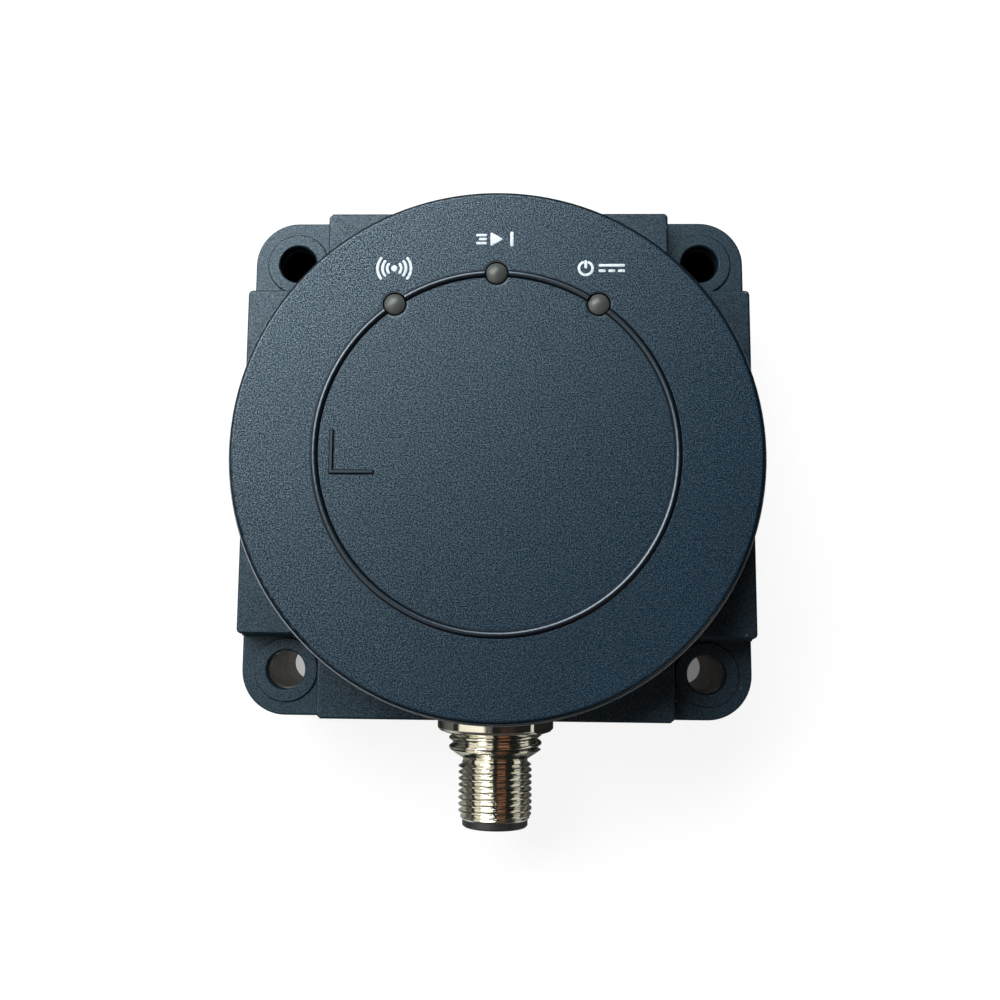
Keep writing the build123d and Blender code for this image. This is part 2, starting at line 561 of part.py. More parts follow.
# ---------------------------------------------------------------- rotor board
rotor_board = cyl(26.0, RB_Z0, RB_Z1)
for x, y in RB_POSTS:
    rotor_board -= cyl(0.95, 25, 28, x, y)
write("rotor_board", rotor_board)
write("rotor_board_screws", socket_screws(RB_POSTS, RB_Z1, head=(1.5, 1.0),
                                          shank=(0.74, 2.82), socket=(0.6, 0.5), up=-1))
# x from, x to, y from, y to, top
ROTOR_CHIPS = [(-5, 3, -20, -13, 28.2), (7, 12, -18, -13, 28.0), (-16, -11, -14, -9, 28.0),
               (17.5, 21.5, -4, 4, 28.6), (-21.5, -17.5, -3, 3, 28.4)]
ROTOR_CHIPS += [(-4 + 2 * i, -3 + 2 * i, -22.8, -22.2, 27.6) for i in range(5)]
write("rotor_board_components", [box(*sides, RB_Z1, top) for *sides, top in ROTOR_CHIPS])
write("data_link_receiver", cyl(1.4, 25.2, RB_Z0)
      + (Pos(0, 0, 25.2) * Sphere(0.5) & cyl(1, 24.6, 25.3)))

# ---------------------------------------------------------------- optics
# two parallel barrels looking along +Y at rest: laser, then receiver
OPT_Z = 32.3              # height of the optical axes
LASER_X, RECEIVER_X = -7.6, 5.2
LENS_Y = 14.2             # back of the lenses
CAN_Y = -4.2              # front of the diode flanges


def barrels(laser_r, receiver_r, start, end):
    return ycyl(laser_r, start, end, LASER_X, OPT_Z) + ycyl(receiver_r, start, end,
                                                            RECEIVER_X, OPT_Z)


optics = box(-13.0, 12.4, -6.0, 15.0, RB_Z1, 35.2)
optics = fillet(optics.edges().filter_by(Axis.Z), 1.2)
optics += barrels(2.95, 2.95, 14.0, 17.0)
optics -= barrels(1.7, 2.15, -8, 20)
optics -= barrels(2.3, 2.55, LENS_Y, 20)
optics -= barrels(2.35, 2.6, -8, CAN_Y)
optics -= box(-1.9, -0.6, -7, 16, 29.5, 36)     # light trap between the two barrels
write("optics_block", optics.solids().sort_by(SortBy.VOLUME)[-1])


def lens(radius, x, rise):
    """Disc with a dome toward +Y."""
    rim = LENS_Y + 0.9
    sphere_r = dome_sphere(radius, rise)
    dome = ((Pos(x, rim + rise - sphere_r, OPT_Z) * Sphere(sphere_r))
            & ycyl(radius, rim - 0.01, rim + rise + 1, x, OPT_Z))
    return ycyl(radius, LENS_Y, rim, x, OPT_Z) + dome


def diode(x, flange_r, can_r, can_end):
    return ycyl(flange_r, -5.4, CAN_Y, x, OPT_Z) + ycyl(can_r, CAN_Y - 0.05, can_end, x, OPT_Z)


write("laser_lens", lens(2.28, LASER_X, 0.7))
write("receiver_lens", lens(2.53, RECEIVER_X, 0.8))
write("laser_diode", diode(LASER_X, 2.3, 1.6, -2.2))
write("receiver_photodiode", diode(RECEIVER_X, 2.55, 2.0, -2.4))

LEAD_R = 0.22
optics_board = box(-12.6, 12.0, -7.4, -6.6, RB_Z1 + 0.1, 35.0)
leads = []
for x in (LASER_X - 0.9, LASER_X + 0.9, RECEIVER_X - 1.2, RECEIVER_X + 1.2):
    leads.append(ycyl(LEAD_R, -7.2, -5.4, x, OPT_Z))
    optics_board -= ycyl(LEAD_R, -9, -6, x, OPT_Z)
write("optics_board", optics_board)
write("diode_leads", leads)
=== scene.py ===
"""Looks of a square lidar scanner module, with its studio light and camera.

The housing stands on z = 0 under a round cap that faces +Z. The connector points to the
front, -Y, and two of the bushes are at the back, +Y. Shapes are in millimetres; materials,
lights and the camera work in metres.
"""
import json
import math

import bpy
from mathutils import Matrix, Vector


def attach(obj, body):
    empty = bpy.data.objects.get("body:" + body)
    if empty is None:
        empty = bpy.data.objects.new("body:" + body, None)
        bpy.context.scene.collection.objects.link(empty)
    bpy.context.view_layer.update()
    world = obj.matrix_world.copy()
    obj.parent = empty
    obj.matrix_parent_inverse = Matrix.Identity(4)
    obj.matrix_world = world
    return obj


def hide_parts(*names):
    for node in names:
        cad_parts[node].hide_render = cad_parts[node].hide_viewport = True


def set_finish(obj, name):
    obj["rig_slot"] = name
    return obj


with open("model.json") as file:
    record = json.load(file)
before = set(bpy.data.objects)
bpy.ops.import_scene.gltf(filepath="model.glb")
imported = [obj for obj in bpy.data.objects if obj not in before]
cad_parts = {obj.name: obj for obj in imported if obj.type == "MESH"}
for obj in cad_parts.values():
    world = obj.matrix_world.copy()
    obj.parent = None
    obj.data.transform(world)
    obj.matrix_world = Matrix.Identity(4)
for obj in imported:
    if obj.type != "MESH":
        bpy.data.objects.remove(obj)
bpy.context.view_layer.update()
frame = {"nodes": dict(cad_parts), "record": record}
scene = bpy.context.scene

MM = 0.001
CONNECTOR_Z = 12.3               # height of the connector axis
CAP_TOP = 40.0
RING_RADIUS = 26.5               # raised ring on the cap, which runs through the lights
LIGHT_ANGLES = (34.7, 0.0, -34.7)   # degrees anticlockwise from +Y, seen from above
BUSH_OFFSET = 32.5               # bushes from the middle, along both X and Y


# ---------------------------------------------------------------- node helpers
class Graph:
    """A node tree with short calls for the nodes used here."""

    def __init__(self, tree, coordinate):
        self.tree = tree
        tree.nodes.clear()
        self.coordinate = self.node("ShaderNodeTexCoord").outputs[coordinate]

    def node(self, kind, **props):
        node = self.tree.nodes.new(kind)
        for key, value in props.items():
            setattr(node, key, value)
        return node

    def link(self, output, socket):
        self.tree.links.new(output, socket)

    def feed(self, socket, value):
        """Gives a socket a number, a colour, a vector or another node's output."""
        if isinstance(value, (int, float)):
            socket.default_value = value
        elif isinstance(value, tuple):
            opaque = len(value) == 3 and socket.type == "RGBA"
            socket.default_value = (*value, 1.0) if opaque else value
        else:
            self.link(value, socket)

    def axes(self):
        split = self.node("ShaderNodeSeparateXYZ")
        self.link(self.coordinate, split.inputs[0])
        return split.outputs

    def math(self, operation, a, b=0.0):
        node = self.node("ShaderNodeMath", operation=operation)
        self.feed(node.inputs[0], a)
        self.feed(node.inputs[1], b)
        return node.outputs[0]

    def hypot(self, x, y):
        squares = self.math("MULTIPLY", x, x), self.math("MULTIPLY", y, y)
        return self.math("SQRT", self.math("ADD", *squares))

    def remap(self, value, span=(0.3, 0.7), to=(0.0, 1.0), interpolation="LINEAR"):
        """Maps the span onto another range and clamps; 0.3 to 0.7 is most of a noise."""
        node = self.node("ShaderNodeMapRange", clamp=True, interpolation_type=interpolation)
        self.link(value, node.inputs["Value"])
        for prefix, ends in (("From", span), ("To", to)):
            node.inputs[prefix + " Min"].default_value = ends[0]
            node.inputs[prefix + " Max"].default_value = ends[1]
        return node.outputs[0]

    def mix(self, factor, first, second):
        """The first colour where the factor is 0, the second where it is 1."""
        node = self.node("ShaderNodeMix", data_type="RGBA")
        for index, value in ((0, factor), (6, first), (7, second)):
            self.feed(node.inputs[index], value)
        return node.outputs[2]

    def ramp(self, value, stops, interpolation):
        node = self.node("ShaderNodeValToRGB")
        node.color_ramp.interpolation = interpolation
        elements = node.color_ramp.elements
        while len(elements) < len(stops):
            elements.new(0.5)
        for element, (position, color) in zip(elements, stops):
            element.position = position
            element.color = (*color, 1.0)
        self.link(value, node.inputs[0])
        return node.outputs[0]


class Look(Graph):
    """A material around a Principled shader, textured in object coordinates."""

    def __init__(self, name):
        self.material = bpy.data.materials.new(name)
        self.material.use_nodes = True
        super().__init__(self.material.node_tree, "Object")
        self.output = self.node("ShaderNodeOutputMaterial")
        self.shader = self.node("ShaderNodeBsdfPrincipled")
        self.link(self.shader.outputs[0], self.output.inputs["Surface"])

    def set(self, name, value):
        self.feed(self.shader.inputs[name], value)

    def texture(self, kind, inputs, **props):
        node = self.node(kind, **props)
        for name, value in inputs.items():
            node.inputs[name].default_value = value
        self.link(self.coordinate, node.inputs["Vector"])
        return node.outputs

    def noise(self, scale, detail=2.0, roughness=0.5, distortion=0.0):
        inputs = {"Scale": scale, "Detail": detail, "Roughness": roughness,
                  "Distortion": distortion}
        return self.texture("ShaderNodeTexNoise", inputs)["Fac"]

    def voronoi(self, scale, feature="F1", randomness=1.0):
        inputs = {"Scale": scale, "Randomness": randomness}
        return self.texture("ShaderNodeTexVoronoi", inputs, feature=feature)

    def wave(self, scale, kind="BANDS", direction="Z", distortion=0.0, profile="SIN",
             detail=0.0):
        props = {"wave_type": kind, "wave_profile": profile,
                 kind.lower() + "_direction": direction}
        inputs = {"Scale": scale, "Distortion": distortion, "Detail": detail}
        return self.texture("ShaderNodeTexWave", inputs, **props)["Fac"]

    def bump(self, height, strength, distance, bevel=None):
        """Sets the normal from a height, over edges rounded by the bevel radius if given."""
        node = self.node("ShaderNodeBump")
        node.inputs["Strength"].default_value = strength
        node.inputs["Distance"].default_value = distance
        self.link(height, node.inputs["Height"])
        if bevel is not None:
            rounding = self.node("ShaderNodeBevel", samples=4)
            rounding.inputs["Radius"].default_value = bevel
            self.link(rounding.outputs[0], node.inputs["Normal"])
        self.set("Normal", node.outputs[0])


def scaled(color, factor):
    return tuple(c * factor for c in color)


# ---------------------------------------------------------------- masks by place
def light_distances(look, x, y):
    """Distance to the centre of each light in the cap."""
    distances = []
    for degrees in LIGHT_ANGLES:
        angle = math.radians(degrees)
        dx = look.math("SUBTRACT", x, -RING_RADIUS * MM * math.sin(angle))
        dy = look.math("SUBTRACT", y, RING_RADIUS * MM * math.cos(angle))
        distances.append(look.hypot(dx, dy))
    return distances


def bead_and_edge_shade(look):
    """Masks of the cap: its raised ring and mark, and the rounding at rim and light holes, where
    the cap is darkened as painted shade.
    """
    x, y, z = look.axes()
    radius = look.hypot(x, y)
    off_ring = look.math("ABSOLUTE", look.math("SUBTRACT", radius, RING_RADIUS * MM))
    ring = look.remap(off_ring, span=(0.00058, 0.00070), to=(1.0, 0.0))
    raised = look.remap(z, span=((CAP_TOP + 0.03) * MM, (CAP_TOP + 0.1) * MM))
    # painted shade on the rounded rim; below, painted shade round each light hole
    rounding = look.remap(radius, span=(0.03840, 0.03880), to=(0.0, 0.8))
    for distance in light_distances(look, x, y):
        hole = look.remap(distance, span=(0.00190, 0.00206), to=(1.0, 0.0))
        rounding = look.math("MAXIMUM", rounding, hole)
    return look.math("MAXIMUM", ring, raised), rounding


def back_bush_shade(look):
    """Painted shade: 1 on the walls of the two bushes at the back, 0 elsewhere; there the metal
    is darkened to near black.
    """
    x, y, z = look.axes()
    dx = look.math("SUBTRACT", look.math("ABSOLUTE", x), BUSH_OFFSET * MM)
    dy = look.math("SUBTRACT", y, BUSH_OFFSET * MM)
    near = look.remap(look.hypot(dx, dy), span=(0.0042, 0.0045), to=(1.0, 0.0))
    return look.math("MULTIPLY", near, look.remap(z, span=(0.002, 0.006)))


# ---------------------------------------------------------------- materials
def pale_specks(look, color, strength):
    """Scatters a few pale dots, one in the odd Voronoi cell."""
    cells = look.voronoi(scale=900.0)
    split = look.node("ShaderNodeSeparateColor")
    look.link(cells["Color"], split.inputs[0])
    dot = look.remap(cells["Distance"], span=(0.06, 0.12), to=(1.0, 0.0))
    chosen = look.remap(split.outputs[0], span=(0.93, 0.95), to=(0.0, strength))
    return look.mix(look.math("MULTIPLY", dot, chosen), color, (0.34, 0.38, 0.40))


def moulded_plastic(name, base, grain, roughness, bevel, specks=0.0, polished=None):
    """Pebbled plastic with pinpoint glints; polished gives masks where the grain stops and the
    base darkens, as polish on the ring and mark and as painted shade on the rim and round the
    light holes.
    """
    look = Look(name)
    fine = look.noise(scale=5600.0, roughness=0.6)
    glint = look.noise(scale=5300.0, detail=1.0, distortion=0.3)
    cell = look.voronoi(scale=4700.0, feature="SMOOTH_F1")["Distance"]
    broad = look.noise(scale=48.0, detail=3.0, roughness=0.55)
    height = look.math("ADD", look.math("MULTIPLY", fine, 0.8), look.math("MULTIPLY", cell, 0.45))
    color = look.mix(look.remap(fine), scaled(base, 0.6), scaled(base, 1.6))
    patches = look.remap(broad, span=(0.35, 0.65), to=(0.0, 0.18))
    color = look.mix(patches, color, scaled(base, 0.55))
    if specks:
        color = pale_specks(look, color, specks)
    glints = look.math("MULTIPLY", look.math("SUBTRACT", glint, 0.5), 4.8 * grain)
    rough = look.remap(look.noise(scale=1500.0), to=(roughness - 0.05, roughness + 0.06))
    if polished:
        shine, rounding = polished(look)
        bare = look.math("MAXIMUM", shine, rounding)
        keep = look.math("SUBTRACT", 1.0, bare)
        height = look.math("MULTIPLY", height, keep)
        # darker base where bare: the polished ring and mark, and painted shade on the rim
        # rounding and round the light holes
        color = look.mix(keep, scaled(base, 0.22), color)
        specular = look.math("ADD", 0.5, look.math("MULTIPLY", glints, keep))
        specular = look.math("ADD", specular, look.math("MULTIPLY", rounding, 0.1))
        smooth = look.math("MULTIPLY", bare, 0.34)
        rough = look.math("ADD", look.math("MULTIPLY", rough, keep), smooth)
        look.set("Coat Weight", look.math("MULTIPLY", shine, 0.75))
        look.set("Coat Tint", (0.55, 0.75, 0.95))
        look.set("Coat Roughness", 0.31)
    else:
        specular = look.math("ADD", 0.5, glints)
    look.bump(height, strength=0.75 * grain, distance=0.00005, bevel=bevel)
    look.set("Base Color", color)
    specular = look.math("MINIMUM", look.math("MAXIMUM", specular, 0.08), 1.2)
    look.set("Specular IOR Level", specular)
    look.set("Specular Tint", (0.72, 0.89, 1.0))
    look.set("Roughness", rough)
    return look.material


def smoked_window(name):
    """Near-black polished window with a paler, slightly frosted upper lip."""
    look = Look(name)
    z = look.axes()[2]
    lip = look.remap(z, span=(0.03782, 0.03790))
    cloud = look.noise(scale=320.0, detail=3.0)
    deep = look.mix(look.remap(look.noise(scale=90.0)),
                    (0.006, 0.005, 0.007), (0.012, 0.008, 0.010))
    frosted = look.mix(cloud, (0.17, 0.20, 0.23), (0.26, 0.29, 0.32))
    look.set("Base Color", look.mix(lip, deep, frosted))
    polish = look.remap(cloud, to=(0.06, 0.13))
    look.set("Roughness", look.math("ADD", polish, look.math("MULTIPLY", lip, 0.4)))
    look.set("Coat Weight", 0.4)
    look.set("Coat Roughness", 0.05)
    ripple = look.noise(scale=140.0, detail=1.0)
    look.bump(ripple, strength=0.05, distance=0.0001, bevel=0.00005)
    return look.material


def rubber(name):
    look = Look(name)
    mottle = look.noise(scale=900.0, detail=3.0)
    look.set("Base Color", look.mix(mottle, (0.016, 0.016, 0.017), (0.034, 0.034, 0.036)))
    look.set("Roughness", look.remap(look.noise(scale=700.0), to=(0.72, 0.9)))
    look.bump(look.noise(scale=2200.0, detail=3.0), strength=0.35, distance=0.00005)
    return look.material


def metal(name, base, roughness, wear, dark=0.6, bevel=0.00012,
          groove_depth=0.0, groove_kind="BANDS", groove_scale=2600.0, painted_shade=None):
    """Blotched metal: worn parts are darker, and grooves run in bands up Z or rings about it."""
    look = Look(name)
    blotch = look.noise(scale=420.0, detail=4.0, roughness=0.6)
    fine = look.noise(scale=2600.0, detail=3.0)
    look.set("Metallic", 1.0)
    worn = look.remap(blotch, span=(0.35, 0.7), to=(0.0, wear))
    color = look.mix(worn, base, scaled(base, dark))
    # where given, the mask darkens the metal to near black as painted shade
    if painted_shade:
        color = look.mix(painted_shade(look), color, (0.035, 0.035, 0.038))
    look.set("Base Color", color)
    look.set("Roughness", look.remap(blotch, to=(roughness * 0.8, roughness * 1.35)))
    height, strength = fine, 0.06
    if groove_depth:
        distortion = 0.6 if groove_kind == "BANDS" else 0.4
        wave = look.wave(scale=groove_scale, kind=groove_kind, distortion=distortion, detail=2.0)
        height = look.math("ADD", look.math("MULTIPLY", wave, groove_depth),
                           look.math("MULTIPLY", fine, 0.3))
        strength = 0.18
    look.bump(height, strength=strength, distance=0.00003, bevel=bevel)
    return look.material


def light_pipe(name):
    """Smoke-grey lenses: cloudy in the middle, with near-black painted shade at the rim where
    they meet the hole.
    """
    look = Look(name)
    cloud = look.noise(scale=600.0, detail=3.0)
    x, y, _ = look.axes()
    nearest, *others = light_distances(look, x, y)
    for distance in others:
        nearest = look.math("MINIMUM", nearest, distance)
    # rim: painted shade, near black and dull, in the gap between lens and hole
    rim = look.remap(nearest, span=(0.00148, 0.00160))
    body = look.mix(look.remap(cloud), (0.050, 0.056, 0.052), (0.072, 0.078, 0.072))
    look.set("Base Color", look.mix(rim, body, (0.002, 0.002, 0.003)))
    look.set("Roughness", look.remap(look.noise(scale=900.0), to=(0.34, 0.46)))
    look.set("Specular IOR Level", look.remap(rim, span=(0.0, 1.0), to=(0.4, 0.03)))
    look.set("Subsurface Weight", look.remap(rim, span=(0.0, 1.0), to=(0.15, 0.0)))
    look.set("Subsurface Radius", (0.0008, 0.0008, 0.0007))
    look.bump(cloud, strength=0.25, distance=0.00012)
    return look.material


def printed_ink(name):
    look = Look(name)
    grain = look.noise(scale=2400.0, detail=3.0)
    cover = look.remap(grain, span=(0.3, 0.62))
    look.set("Base Color", look.mix(cover, (0.46, 0.52, 0.56), (0.70, 0.76, 0.79)))
    look.set("Roughness", look.remap(grain, to=(0.45, 0.62)))
    look.bump(grain, strength=0.4, distance=0.00004)
    return look.material


def circuit_board(name):
    """Green board with paler traces and gold pads."""
    look = Look(name)
    cells = look.voronoi(scale=420.0, feature="DISTANCE_TO_EDGE", randomness=0.75)["Distance"]
    trace = look.remap(cells, span=(0.02, 0.05), to=(1.0, 0.0))
    spots = look.voronoi(scale=330.0, randomness=0.35)["Distance"]
    pads = look.remap(spots, span=(0.13, 0.16), to=(1.0, 0.0))
    wave = look.wave(scale=260.0, direction="DIAGONAL", distortion=2.5, profile="TRI")
    stripes = look.math("MULTIPLY", look.remap(wave, span=(0.82, 0.9)), 0.7)
    green = look.mix(look.noise(scale=50.0), (0.008, 0.085, 0.045), (0.014, 0.12, 0.06))
    color = look.mix(look.math("MAXIMUM", trace, stripes), green, (0.02, 0.19, 0.09))
    look.set("Base Color", look.mix(pads, color, (0.75, 0.6, 0.28)))
    look.set("Metallic", look.math("MULTIPLY", pads, 0.9))
    look.set("Roughness", look.remap(look.noise(scale=800.0), to=(0.25, 0.42)))
    look.bump(look.math("ADD", trace, pads), strength=0.25, distance=0.00005)
    return look.material


def winding(name):
    """Lacquered copper wire, wound in rings and layers about Z."""
    look = Look(name)
    rings = look.wave(scale=900.0, kind="RINGS", distortion=0.15, detail=1.0)
    layers = look.wave(scale=900.0, distortion=0.15)
    height = look.math("MAXIMUM", rings, look.math("MULTIPLY", layers, 0.8))
    mottle = look.noise(scale=500.0, detail=3.0)
    look.set("Base Color", look.mix(mottle, (0.42, 0.13, 0.045), (0.72, 0.29, 0.11)))
    look.set("Metallic", 0.85)
    look.set("Coat Weight", 0.5)
    look.set("Roughness", look.remap(height, span=(0.0, 1.0), to=(0.42, 0.24)))
    look.bump(height, strength=0.7, distance=0.00012)
    return look.material


def lens_glass(name):
    look = Look(name)
    tint = look.noise(scale=300.0)
    look.set("Base Color", look.mix(tint, (0.55, 0.62, 0.80), (0.72, 0.66, 0.86)))
    look.set("Roughness", look.remap(look.noise(scale=700.0), to=(0.01, 0.04)))
    look.set("Transmission Weight", 0.92)
    look.set("IOR", 1.52)
    look.set("Coat Weight", 0.6)
    look.set("Coat Tint", (0.62, 0.45, 0.95))
    return look.material


WIRE_COLORS = [
    (0.02, 0.02, 0.02), (0.35, 0.02, 0.02), (0.02, 0.08, 0.4), (0.55, 0.5, 0.45),
    (0.25, 0.1, 0.04), (0.03, 0.25, 0.06), (0.6, 0.42, 0.03), (0.22, 0.22, 0.23),
]


def wires(name):
    """One colour for each separate wire, lightly soiled."""
    look = Look(name)
    geometry = look.node("ShaderNodeNewGeometry")
    stops = [(i / len(WIRE_COLORS), color) for i, color in enumerate(WIRE_COLORS)]
    color = look.ramp(geometry.outputs["Random Per Island"], stops, "CONSTANT")
    dirt = look.noise(scale=800.0, detail=3.0)
    look.set("Base Color", look.mix(look.remap(dirt, to=(0.0, 0.25)), color, (0.02, 0.02, 0.02)))
    look.set("Roughness", look.remap(dirt, to=(0.35, 0.55)))
    look.bump(dirt, strength=0.1, distance=0.00005)
    return look.material


def insulator(name, base=(0.012, 0.012, 0.013), roughness=0.45):
    look = Look(name)
    grain = look.noise(scale=1600.0, detail=3.0)
    look.set("Base Color", look.mix(look.remap(grain), base, scaled(base, 1.8)))
    look.set("Roughness", look.remap(grain, to=(roughness - 0.06, roughness + 0.1)))
    look.bump(grain, strength=0.2, distance=0.00004, bevel=0.0001)
    return look.material


def film(name):
    """Amber film with rings about Z."""
    look = Look(name)
    wave = look.wave(scale=1000.0, kind="RINGS", profile="TRI")
    tracks = look.remap(wave, span=(0.35, 0.6))
    look.set("Base Color", look.mix(tracks, (0.62, 0.24, 0.03), (0.75, 0.38, 0.09)))
    look.set("Roughness", look.remap(look.noise(scale=600.0), to=(0.2, 0.34)))
    look.bump(tracks, strength=0.2, distance=0.00004)
    return look.material


MATERIALS = {
    "housing_plastic": moulded_plastic(
        "housing_plastic_look", base=(0.0036, 0.0121, 0.0208), grain=0.45, roughness=0.42,
        bevel=0.00012, specks=0.8),
    "cap_plastic": moulded_plastic(
        "cap_plastic_look", base=(0.0020, 0.0118, 0.0232), grain=1.0, roughness=0.4,
        bevel=0.00004, polished=bead_and_edge_shade),
    "window_plastic": smoked_window("window_look"),
    "seal_rubber": rubber("rubber_look"),
    # the two back bushes get painted shade on their walls
    "stainless_steel": metal("stainless_look", base=(0.62, 0.61, 0.59), roughness=0.30,
                             wear=0.35, groove_depth=0.8, painted_shade=back_bush_shade),
    "light_pipe": light_pipe("light_pipe_look"),
    "circuit_board": circuit_board("circuit_board_look"),
    "led_package": insulator("led_package_look", base=(0.55, 0.54, 0.47), roughness=0.4),
    "flat_cable": film("flat_cable_look"),
    "nickel_plated_brass": metal("nickel_look", base=(0.88, 0.86, 0.77), roughness=0.10,
                                 wear=0.3, dark=0.62),
    "black_insulator": insulator("insulator_look"),
    "gold_contact": metal("gold_look", base=(0.86, 0.62, 0.24), roughness=0.2, wear=0.3),
    "wire_insulation": wires("wire_look"),
    "machined_aluminium": metal("aluminium_look", base=(0.77, 0.78, 0.79), roughness=0.27,
                                wear=0.2, groove_depth=1.0, groove_kind="RINGS",
                                groove_scale=1400.0),
    "bearing_steel": metal("bearing_look", base=(0.66, 0.66, 0.67), roughness=0.1, wear=0.15),
    "lamination_steel": metal("lamination_look", base=(0.36, 0.37, 0.39), roughness=0.38,
                              wear=0.4, groove_depth=1.0, groove_scale=900.0),
    "copper_winding": winding("copper_look"),
    "ferrite": insulator("ferrite_look", base=(0.035, 0.034, 0.034), roughness=0.7),
    "cage_brass": metal("cage_look", base=(0.78, 0.55, 0.25), roughness=0.28, wear=0.35),
    "magnet": metal("magnet_look", base=(0.62, 0.61, 0.58), roughness=0.2, wear=0.25),
    "black_anodised": metal("anodised_look", base=(0.035, 0.036, 0.042), roughness=0.42,
                            wear=0.3, bevel=0.0002),
    "lens_glass": lens_glass("lens_look"),
    "printed_ink": printed_ink("printed_ink_look"),
}


def dress_cad():
    slot_of = {part["node"]: part["material_slot"] for part in frame["record"]["subparts"]}
    for name, obj in frame["nodes"].items():
        obj.data.materials.clear()
        obj.data.materials.append(MATERIALS[slot_of[name]])


dress_cad()


def housing_piece(name, verts, faces, slot, sharp_degrees):
    """A smooth-shaded piece that rides on the housing; edges above the angle stay sharp."""
    mesh = bpy.data.meshes.new(name)
    mesh.from_pydata([tuple(c * MM for c in vert) for vert in verts], [], faces)
    mesh.validate()
    mesh.update()
    for polygon in mesh.polygons:
        polygon.use_smooth = True
    mesh.set_sharp_from_angle(angle=math.radians(sharp_degrees))
    mesh.materials.append(MATERIALS[slot])
    obj = bpy.data.objects.new(name, mesh)
    scene.collection.objects.link(obj)
    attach(obj, "housing")
    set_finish(obj, slot)
    return obj


# ---------------------------------------------------------------- threaded connector shell
BORE_RADIUS = 4.6
BARREL_RADIUS = 7.55             # crest of the coarse thread, nearer the housing
NOSE_RADIUS = 5.95               # crest of the fine thread, towards the tip
GROOVE_RADIUS = 5.28             # relief groove between the two
BARREL_THREAD_Y = (-41.9, -45.3)
NOSE_THREAD_Y = (-47.36, -56.05)
BARREL_PITCH, NOSE_PITCH = 1.41, 1.0
BARREL_PHASE, NOSE_PHASE = 0.30, 0.1    # turns
THREAD_DEPTH = 0.62
CREST, ROOT = 0.18, 0.14         # flat parts of the thread, as shares of half a pitch
SHELL_SEGMENTS = 144


def stations(radius, ends, step):
    """(radius, y) stations stepping towards -Y."""
    y, end = ends
    points = []
    while y > end:
        points.append((radius, y))
        y -= step
    return points


# (radius, y) once round the wall, from the bore at the housing end
SHELL_PROFILE = [
    (BORE_RADIUS, -33.2), (9.0, -33.2), (9.0, -34.9),
    (BARREL_RADIUS, -34.95), (BARREL_RADIUS, -35.0), (BARREL_RADIUS, -41.8),
    *stations(BARREL_RADIUS, BARREL_THREAD_Y, step=0.1),
    (7.42, -45.42), (7.0, -45.72), (6.2, -46.25), (5.45, -46.72),
    (GROOVE_RADIUS, -46.84), (5.26, -47.1), (GROOVE_RADIUS, -47.32),
    *stations(NOSE_RADIUS, NOSE_THREAD_Y, step=0.085),
    (5.62, -56.12), (5.42, -56.3), (5.36, -56.42), (5.3, -56.45), (5.26, -56.43),
    (5.24, -56.3), (5.24, -55.2), (BORE_RADIUS, -55.2),
]


def clamp(value):
    return min(1.0, max(0.0, value))


def thread_depth(phase):
    """0 at the crest, 1 at the root, for a phase in turns."""
    toward_crest = abs((phase % 1.0) - 0.5) * 2
    return clamp((1.0 - CREST - toward_crest) / (1.0 - CREST - ROOT))


def barrel_radius(y, turn):
    """Coarse thread: fades in, and narrows a little at its far end."""
    fade = clamp((-41.95 - y) / 0.5)
    narrowing = 0.12 * max(0.0, (-y - 45.15) / 0.25)
    depth = thread_depth(-y / BARREL_PITCH + turn + BARREL_PHASE)
    return BARREL_RADIUS - THREAD_DEPTH * depth * fade - narrowing


def nose_radius(y, turn):
    """Fine thread, held under a run-in from the groove and a chamfer at the tip."""
    start, end = NOSE_THREAD_Y
    run_in = GROOVE_RADIUS + (NOSE_RADIUS - GROOVE_RADIUS) * clamp((start - y) / 0.45)
    chamfer = 5.45 + (NOSE_RADIUS - 5.45) * clamp((y - end) / 0.55)
    depth = thread_depth(-y / NOSE_PITCH + turn + NOSE_PHASE)
    return min(NOSE_RADIUS - THREAD_DEPTH * depth, run_in, chamfer)


def shell_radius(radius, y, turn):
    if radius == BARREL_RADIUS and y < -41.85:
        return barrel_radius(y, turn)
    if radius == NOSE_RADIUS:
        return nose_radius(y, turn)
    return radius


def connector_shell():
    """The closed profile turned about the connector axis, parallel to Y."""
    verts, faces = [], []
    count = len(SHELL_PROFILE)
    for j in range(SHELL_SEGMENTS):
        angle = 2 * math.pi * j / SHELL_SEGMENTS
        following = (j + 1) % SHELL_SEGMENTS
        for i, (station_radius, y) in enumerate(SHELL_PROFILE):
            radius = shell_radius(station_radius, y, turn=j / SHELL_SEGMENTS)
            verts.append((radius * math.sin(angle), y, CONNECTOR_Z + radius * math.cos(angle)))
            k = (i + 1) % count
            faces.append((j * count + i, following * count + i,
                          following * count + k, j * count + k))
    shell = housing_piece("connector_shell_threaded", verts, faces, "nickel_plated_brass",
                          sharp_degrees=42.0)
    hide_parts("connector_shell")


connector_shell()


# ---------------------------------------------------------------- printed signs by the lights
INK_BOTTOM = CAP_TOP - 0.015
INK_TOP = CAP_TOP + 0.022
INK_EDGE = 0.02                  # width of the soft edge


def arc(x, y, radius, start, end, steps):
    """Points along an arc, both ends included; angles in degrees."""
    points = []
    for i in range(steps + 1):
        angle = math.radians(start + (end - start) * i / steps)
        points.append((x + radius * math.cos(angle), y + radius * math.sin(angle)))
    return points


def disc(radius):
    return arc(0, 0, radius, 0, 360, steps=36)[:-1]


